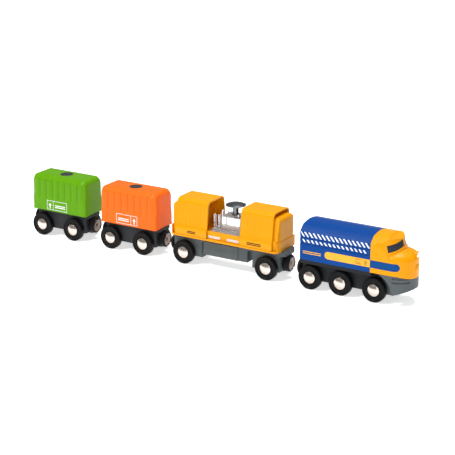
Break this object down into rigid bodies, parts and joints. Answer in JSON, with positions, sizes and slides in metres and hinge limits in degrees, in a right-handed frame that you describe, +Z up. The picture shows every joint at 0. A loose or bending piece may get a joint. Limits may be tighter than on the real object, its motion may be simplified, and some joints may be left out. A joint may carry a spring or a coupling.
{
  "type": "wooden railway freight train",
  "caption": "Push-along toy freight train: diesel locomotive, light wagon with sliding hoods over a clear load, and two container wagons, joined by magnets.",
  "frame": {"origin": "centre of the bounding box at rail level, under the middle of the train", "axes": "+X towards the nose of the locomotive along the train, +Y to its left across the track, +Z up"},
  "size_m": [0.3674, 0.0334, 0.0565],
  "materials": {
    "wheel_black": "satin moulded plastic",
    "hub_metal": "polished domed steel",
    "wagon_grey": "fine matt moulded plastic",
    "skirt_grey": "fine matt moulded plastic",
    "drum_black": "matt moulded plastic",
    "magnet_steel": "plated steel cup",
    "train_blue": "painted beech",
    "train_yellow": "satin moulded plastic",
    "window_dark": "glossy dark glazing",
    "lens_white": "glossy lens",
    "screw_steel": "plated steel",
    "cell_steel": "nickel plate",
    "board_green": "solder mask",
    "led_white": "lens",
    "clear_plastic": "clear polystyrene",
    "window_clear": "frosted light window",
    "cap_gunmetal": "dark plated steel",
    "container_orange": "satin moulded plastic",
    "container_green": "satin moulded plastic",
    "disc_grey": "dark plated steel"
  },
  "bodies": {
    "loco": {"loco_chassis": "skirt_grey", "loco_body": "train_blue", "loco_cab": "train_yellow", "loco_windows": "window_dark", "loco_headlight": "lens_white", "loco_screws": "screw_steel"},
    "loco_front_wheelset": {"loco_axle_front": "hub_metal", "loco_wheels_front": "wheel_black"},
    "loco_middle_wheelset": {"loco_axle_middle": "hub_metal", "loco_wheels_middle": "wheel_black"},
    "loco_rear_wheelset": {"loco_axle_rear": "hub_metal", "loco_wheels_rear": "wheel_black"},
    "loco_rear_coupler": {"loco_rear_drum": "drum_black", "loco_rear_magnet": "magnet_steel"},
    "light_wagon": {"light_chassis": "skirt_grey", "light_battery_door": "skirt_grey", "light_battery_screw": "screw_steel", "light_button_cells": "cell_steel", "light_circuit_board": "board_green", "light_leds": "led_white", "light_deck": "train_yellow", "light_side_windows": "window_clear", "light_deck_screws": "screw_steel"},
    "front_hood": {"light_hood_front": "train_yellow"},
    "rear_hood": {"light_hood_rear": "train_yellow"},
    "clear_load": {"light_load": "clear_plastic", "light_load_cap": "cap_gunmetal"},
    "orange_wagon": {"orange_chassis": "wagon_grey"},
    "orange_container": {"orange_container": "container_orange", "orange_disc": "disc_grey"},
    "green_wagon": {"green_chassis": "wagon_grey"},
    "green_container": {"green_container": "container_green", "green_disc": "disc_grey"},
    "light_front_wheelset": {"light_axle_front": "hub_metal", "light_wheels_front": "wheel_black"},
    "light_rear_wheelset": {"light_axle_rear": "hub_metal", "light_wheels_rear": "wheel_black"},
    "light_front_coupler": {"light_front_drum": "drum_black", "light_front_magnet": "magnet_steel"},
    "light_rear_coupler": {"light_rear_drum": "drum_black", "light_rear_magnet": "magnet_steel"},
    "orange_front_wheelset": {"orange_axle_front": "hub_metal", "orange_wheels_front": "wheel_black"},
    "orange_rear_wheelset": {"orange_axle_rear": "hub_metal", "orange_wheels_rear": "wheel_black"},
    "orange_front_coupler": {"orange_front_drum": "drum_black", "orange_front_magnet": "magnet_steel"},
    "orange_rear_coupler": {"orange_rear_drum": "drum_black", "orange_rear_magnet": "magnet_steel"},
    "green_front_wheelset": {"green_axle_front": "hub_metal", "green_wheels_front": "wheel_black"},
    "green_rear_wheelset": {"green_axle_rear": "hub_metal", "green_wheels_rear": "wheel_black"},
    "green_front_coupler": {"green_front_drum": "drum_black", "green_front_magnet": "magnet_steel"},
    "green_rear_coupler": {"green_rear_drum": "drum_black", "green_rear_magnet": "magnet_steel"}
  },
  "joints": [
    {"name": "loco_front_axle_spin", "type": "hinge", "parent": "loco", "child": "loco_front_wheelset", "pos_m": [0.1533, 0, 0.01], "axis": [0, 1, 0], "continuous": true},
    {"name": "loco_middle_axle_spin", "type": "hinge", "parent": "loco", "child": "loco_middle_wheelset", "pos_m": [0.124, 0, 0.01], "axis": [0, 1, 0], "continuous": true},
    {"name": "loco_rear_axle_spin", "type": "hinge", "parent": "loco", "child": "loco_rear_wheelset", "pos_m": [0.0972, 0, 0.01], "axis": [0, 1, 0], "continuous": true},
    {"name": "loco_coupler_swing", "type": "hinge", "parent": "loco", "child": "loco_rear_coupler", "pos_m": [0.0923, 0, 0.0135], "axis": [0, 0, 1], "range_deg": [-15, 15]},
    {"name": "light_wagon_coupling", "type": "slide", "parent": "loco_rear_coupler", "child": "light_wagon", "axis": [1, 0, 0], "range_m": [-0.03, 0.0073]},
    {"name": "light_front_axle_spin", "type": "hinge", "parent": "light_wagon", "child": "light_front_wheelset", "pos_m": [0.0569, 0, 0.01], "axis": [0, 1, 0], "continuous": true},
    {"name": "light_rear_axle_spin", "type": "hinge", "parent": "light_wagon", "child": "light_rear_wheelset", "pos_m": [-0.0219, 0, 0.01], "axis": [0, 1, 0], "continuous": true},
    {"name": "light_front_coupler_spin", "type": "hinge", "parent": "light_wagon", "child": "light_front_coupler", "pos_m": [0.0689, 0, 0.013], "axis": [1, 0, 0], "continuous": true},
    {"name": "light_coupler_swing", "type": "hinge", "parent": "light_wagon", "child": "light_rear_coupler", "pos_m": [-0.0298, 0, 0.0135], "axis": [0, 0, 1], "range_deg": [-15, 15]},
    {"name": "orange_wagon_coupling", "type": "slide", "parent": "light_rear_coupler", "child": "orange_wagon", "axis": [1, 0, 0], "range_m": [-0.03, 0.0064]},
    {"name": "orange_front_axle_spin", "type": "hinge", "parent": "orange_wagon", "child": "orange_front_wheelset", "pos_m": [-0.0631, 0, 0.01], "axis": [0, 1, 0], "continuous": true},
    {"name": "orange_rear_axle_spin", "type": "hinge", "parent": "orange_wagon", "child": "orange_rear_wheelset", "pos_m": [-0.0963, 0, 0.01], "axis": [0, 1, 0], "continuous": true},
    {"name": "orange_front_coupler_spin", "type": "hinge", "parent": "orange_wagon", "child": "orange_front_coupler", "pos_m": [-0.0511, 0, 0.013], "axis": [1, 0, 0], "continuous": true},
    {"name": "orange_coupler_swing", "type": "hinge", "parent": "orange_wagon", "child": "orange_rear_coupler", "pos_m": [-0.1007, 0, 0.0135], "axis": [0, 0, 1], "range_deg": [-15, 15]},
    {"name": "green_wagon_coupling", "type": "slide", "parent": "orange_rear_coupler", "child": "green_wagon", "axis": [1, 0, 0], "range_m": [-0.03, 0.0089]},
    {"name": "green_front_axle_spin", "type": "hinge", "parent": "green_wagon", "child": "green_front_wheelset", "pos_m": [-0.1365, 0, 0.01], "axis": [0, 1, 0], "continuous": true},
    {"name": "green_rear_axle_spin", "type": "hinge", "parent": "green_wagon", "child": "green_rear_wheelset", "pos_m": [-0.1697, 0, 0.01], "axis": [0, 1, 0], "continuous": true},
    {"name": "green_front_coupler_spin", "type": "hinge", "parent": "green_wagon", "child": "green_front_coupler", "pos_m": [-0.1245, 0, 0.013], "axis": [1, 0, 0], "continuous": true},
    {"name": "green_coupler_swing", "type": "hinge", "parent": "green_wagon", "child": "green_rear_coupler", "pos_m": [-0.1741, 0, 0.0135], "axis": [0, 0, 1], "range_deg": [-15, 15]},
    {"name": "front_hood_slide", "type": "slide", "parent": "light_wagon", "child": "front_hood", "axis": [1, 0, 0], "range_m": [-0.0035, 0.0035]},
    {"name": "rear_hood_slide", "type": "slide", "parent": "light_wagon", "child": "rear_hood", "axis": [-1, 0, 0], "range_m": [-0.0095, 0.0035]},
    {"name": "load_lift", "type": "slide", "parent": "light_wagon", "child": "clear_load", "axis": [0, 0, 1], "range_m": [0, 0.04]},
    {"name": "orange_container_lift", "type": "slide", "parent": "orange_wagon", "child": "orange_container", "axis": [0, 0, 1], "range_m": [0, 0.04]},
    {"name": "green_container_lift", "type": "slide", "parent": "green_wagon", "child": "green_container", "axis": [0, 0, 1], "range_m": [0, 0.04]}
  ]
}
